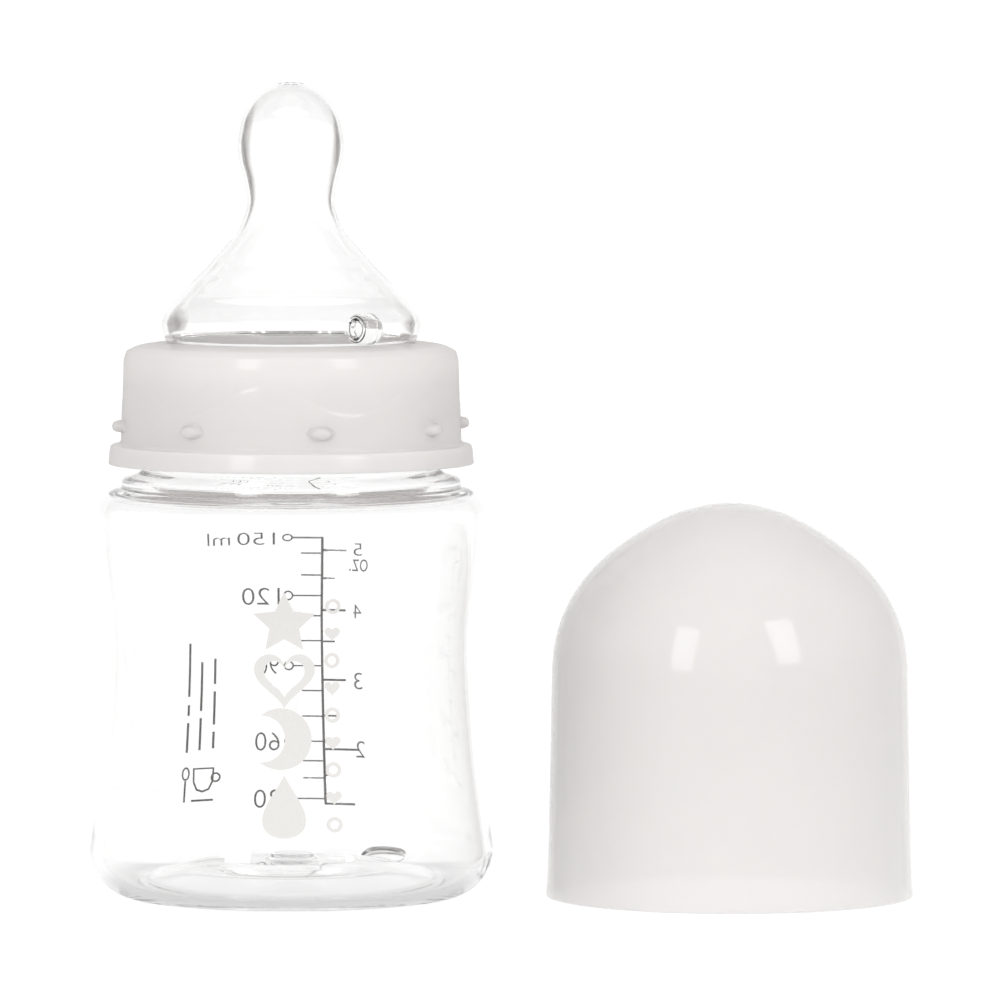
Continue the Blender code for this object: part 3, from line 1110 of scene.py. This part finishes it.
def heart(x, z, size):
    """A heart with its point down."""
    return [
        (
            x + size * sin(t) ** 3,
            z + size * (13 * cos(t) - 5 * cos(2 * t) - 2 * cos(3 * t) - cos(4 * t)) / 16,
        )
        for t in (tau * k / 48 for k in range(48))
    ]


def moon(x, z, size):
    """A crescent that is open to the left."""
    outer = arc((x, z), size, size, -130, 130, 32)
    hollow = x - size * 0.62
    dx, dz = outer[-1][0] - hollow, outer[-1][1] - z
    reach, turn = hypot(dx, dz), atan2(dz, dx)
    turns = (turn * (1 - k / 12) for k in range(1, 24))
    return outer + [(hollow + reach * cos(a), z + reach * sin(a)) for a in turns]


def drop(x, z, size):
    """A drop with its point up."""
    return [
        (x + size * 0.95 * sin(t) * sin(t / 2) ** 1.6, z + size * cos(t))
        for t in (tau * k / 48 for k in range(48))
    ]


def make_motifs():
    """Four large plain shapes down the front, and a column of small ones beside them."""
    x = -0.55
    shapes = [
        [star(x, 47.0, 5.2)],
        [heart(x, 38.4, 4.95), heart(x, 38.5, 3.3)],
        [moon(x - 0.6, 28.4, 4.95)],
        [drop(x, 17.6, 5.1)],
    ]
    printed("front_motifs", shapes, FRONT, PALE_INK)
    x, size = 7.2, 1.25
    shapes = []
    for i in range(9):
        z = 49.8 - 4.4 * i
        small_ring = [oval(x, z, size, size), oval(x, z, 0.7, 0.7)]
        shapes.append([heart(x, z, size)] if i % 2 else small_ring)
    printed("front_dots", shapes, FRONT, PALE_INK)


# Floor, light and camera

FLOOR_SIZE, FLOOR_DROP = 30.0, 0.0003  # metres
# A painted shadow under the bottle: how bright the floor is for the surfaces above it, from the
# bottle's axis outwards, as (share of FLOOR_SHADE_REACH, brightness). The camera sees FLOOR_SEEN,
# so that the table stays white.
FLOOR_SHADE_REACH, FLOOR_SEEN = 0.04, 0.97
FLOOR_SHADE = ((0.0, 0.93), (0.5, 0.9), (0.64, 0.62), (0.78, 0.68), (0.95, 0.97))


def make_floor():
    """A white light table that shows no shadow, but gives less light to the bottle's heel."""
    bm = bmesh.new()
    bmesh.ops.create_grid(bm, x_segments=8, y_segments=8, size=FLOOR_SIZE)
    mesh = bpy.data.meshes.new("floor")
    bm.to_mesh(mesh)
    bm.free()
    n = new_material("floor")
    away = n.add("VectorMath", operation="DISTANCE")
    n.put(n.add("TexCoord").outputs["Object"], away.inputs[0])
    n.put((BOTTLE_X * MM, 0.0, 0.0), away.inputs[1])
    # painted shadow: the floor's glow dims under the bottle for every ray but the camera's
    under = n.colours(n.ramp(away.outputs["Value"], 0.0, 1.0, 0.0, FLOOR_SHADE_REACH), FLOOR_SHADE)
    seen = n.mix(n.add("LightPath").outputs["Is Camera Ray"], under, (*[FLOOR_SEEN] * 3, 1.0))
    surface = n.add(
        "BsdfPrincipled",
        Roughness=0.9,
        Base_Color=(0.04, 0.04, 0.04, 1.0),
        Emission_Color=seen,
        Emission_Strength=1.0,
    )
    material = n.finish(surface)
    mesh.materials.append(material)
    material.cycles.emission_sampling = "NONE"
    floor = bpy.data.objects.new("floor", mesh)
    bpy.context.scene.collection.objects.link(floor)
    floor.location.z = -FLOOR_DROP


# How bright the studio is for gloss and clear walls, from below to above
GLOSS_SHADE = ((0.0, 1.0), (0.5, 1.0), (0.65, 0.85), (0.82, 0.85), (1.0, 1.0))
# How bright it is for matt surfaces, with what it gains towards +X and upwards
FRONT_FILL, SIDE_FILL, BACK_FILL = 1.36, 0.76, 0.8
FILL_LEAN, FILL_TOP = -0.09, 0.15


def make_world():
    """White studio: fill mostly from the front for matt surfaces, and a dimmer ceiling in gloss."""
    world = bpy.data.worlds.new("studio")
    bpy.context.scene.world = world
    n = Nodes(world, "OutputWorld")
    path = n.add("LightPath").outputs
    way = n.add("SeparateXYZ", Vector=n.add("TexCoord").outputs["Generated"]).outputs
    gloss = n.colours(way["Z"], GLOSS_SHADE)
    backwards = n.ramp(way["Y"], 0.0, 1.0, -1.0, 1.0)
    fill = n.colours(backwards, ((0.0, FRONT_FILL), (0.5, SIDE_FILL), (1.0, BACK_FILL)))
    fill = n.math("MULTIPLY_ADD", way["X"], FILL_LEAN, fill)
    fill = n.math("MULTIPLY_ADD", way["Z"], FILL_TOP, fill)
    light = n.mix(n.math("GREATER_THAN", path["Diffuse Depth"], 0.5), gloss, fill)
    seen = n.mix(path["Is Camera Ray"], light, (1.0, 1.0, 1.0, 1.0))
    n.finish(n.add("Background", Color=seen))
    world.cycles.sampling_method = "NONE"


SOFTBOX_DISTANCE, SOFTBOX_RADIANCE, SOFTBOX_AIM = 1.5, 6.0, 0.06


def make_softbox(name, azimuth, width, low, high):
    """A tall box light, as seen from the object: its azimuth, width and two elevations, in degrees."""
    middle = radians((low + high) / 2)
    data = bpy.data.lights.new(name, "AREA")
    data.shape = "RECTANGLE"
    data.size = 2 * SOFTBOX_DISTANCE * sin(radians(width / 2))
    data.size_y = 2 * SOFTBOX_DISTANCE * sin(radians((high - low) / 2))
    data.energy = SOFTBOX_RADIANCE * pi * data.size * data.size_y
    light = bpy.data.objects.new(name, data)
    bpy.context.scene.collection.objects.link(light)
    a = radians(azimuth)
    away = Vector((sin(a) * cos(middle), -cos(a) * cos(middle), sin(middle)))
    light.location = away * SOFTBOX_DISTANCE + Vector((0.0, 0.0, SOFTBOX_AIM))
    light.rotation_mode = "QUATERNION"
    light.rotation_quaternion = away.to_track_quat("Z", "Y")
    light.visible_camera = False


CAMERA_PLACE = (-0.00025, -1.698, 0.1725)
CAMERA_TILT = 86.38  # degrees from straight down
SENSOR_WIDTH, FOCAL_LENGTH = 36.0, 373.8


def make_camera():
    """A long lens, a little above the set and nearly level."""
    data = bpy.data.cameras.new("camera")
    data.sensor_width, data.lens = SENSOR_WIDTH, FOCAL_LENGTH
    data.clip_start, data.clip_end = 0.01, 100.0
    camera = bpy.data.objects.new("camera", data)
    camera.location = CAMERA_PLACE
    camera.rotation_euler = (radians(CAMERA_TILT), 0.0, 0.0)
    bpy.context.scene.collection.objects.link(camera)
    bpy.context.scene.camera = camera


make_camera()
make_world()
make_floor()
make_softbox("left_softbox", azimuth=-31.0, width=15.0, low=4.8, high=38.7)
make_softbox("right_softbox", azimuth=39.0, width=17.0, low=7.0, high=43.3)
make_bottle()
make_ring()
make_teat()
make_cap()
make_scale()
make_side_marks()
make_motifs()

scene = bpy.context.scene
scene.view_settings.view_transform = "Standard"
# Light crosses many clear surfaces in a row
scene.cycles.max_bounces = 64
scene.cycles.diffuse_bounces = 8
scene.cycles.glossy_bounces = 48
scene.cycles.transmission_bounces = 48
scene.cycles.transparent_max_bounces = 24
